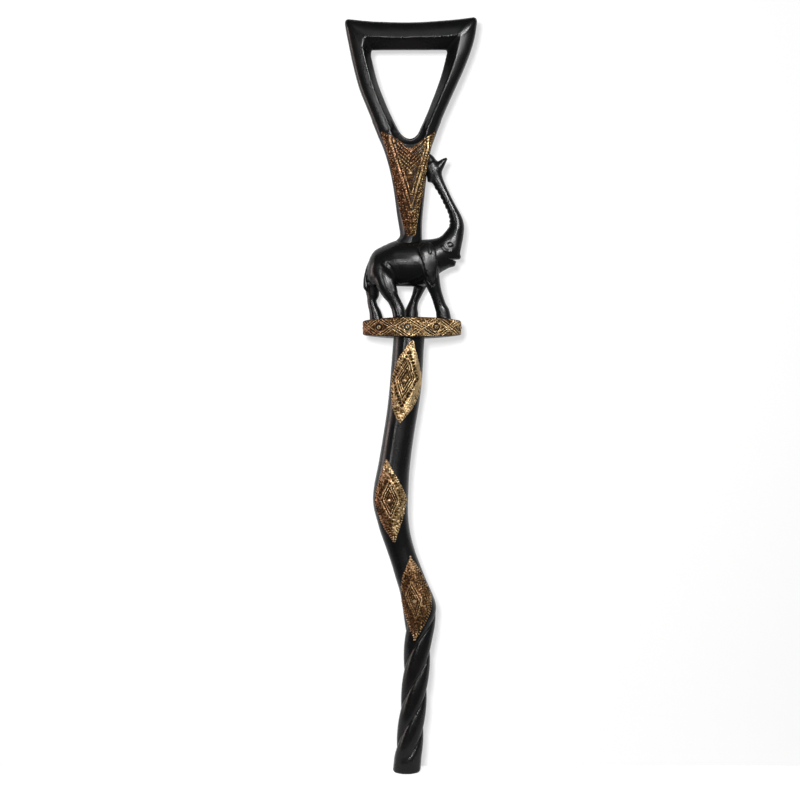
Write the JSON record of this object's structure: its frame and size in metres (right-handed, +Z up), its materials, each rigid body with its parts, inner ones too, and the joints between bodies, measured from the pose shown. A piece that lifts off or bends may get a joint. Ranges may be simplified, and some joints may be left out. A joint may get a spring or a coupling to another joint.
{
  "type": "carved walking stick",
  "caption": "Carved wooden walking stick: open loop grip, elephant with raised trunk on an oval plinth, bent shaft with embossed brass diamonds and a rope-twist foot.",
  "frame": {"origin": "middle of the foot's flat end, on the floor", "axes": "+Z up the stick to the grip; -Y is the front with the brass sheets; +X is the side the elephant looks to, at the viewer's right"},
  "size_m": [0.16, 0.0592, 0.915],
  "materials": {
    "black_wood": "satin",
    "brass_sheet": "satin",
    "brass_tack": "gloss"
  },
  "bodies": {
    "root": {"carved_body": "black_wood", "plinth_band": "brass_sheet", "v_plate": "brass_sheet", "diamond_plate_top": "brass_sheet", "diamond_plate_middle": "brass_sheet", "diamond_plate_bottom": "brass_sheet", "band_stud_1": "brass_tack", "band_stud_2": "brass_tack", "band_stud_3": "brass_tack", "band_stud_4": "brass_tack", "band_stud_5": "brass_tack", "band_stud_6": "brass_tack", "band_stud_7": "brass_tack", "band_stud_8": "brass_tack", "v_plate_tack": "brass_tack", "v_plate_pin_middle": "brass_tack", "v_plate_pin_left": "brass_tack", "v_plate_pin_right": "brass_tack", "v_plate_pin_foot": "brass_tack", "diamond_tack_top": "brass_tack", "diamond_pin_top_upper": "brass_tack", "diamond_pin_top_lower": "brass_tack", "diamond_tack_middle": "brass_tack", "diamond_pin_middle_upper": "brass_tack", "diamond_pin_middle_lower": "brass_tack", "diamond_tack_bottom": "brass_tack", "diamond_pin_bottom_upper": "brass_tack", "diamond_pin_bottom_lower": "brass_tack"}
  },
  "joints": []
}
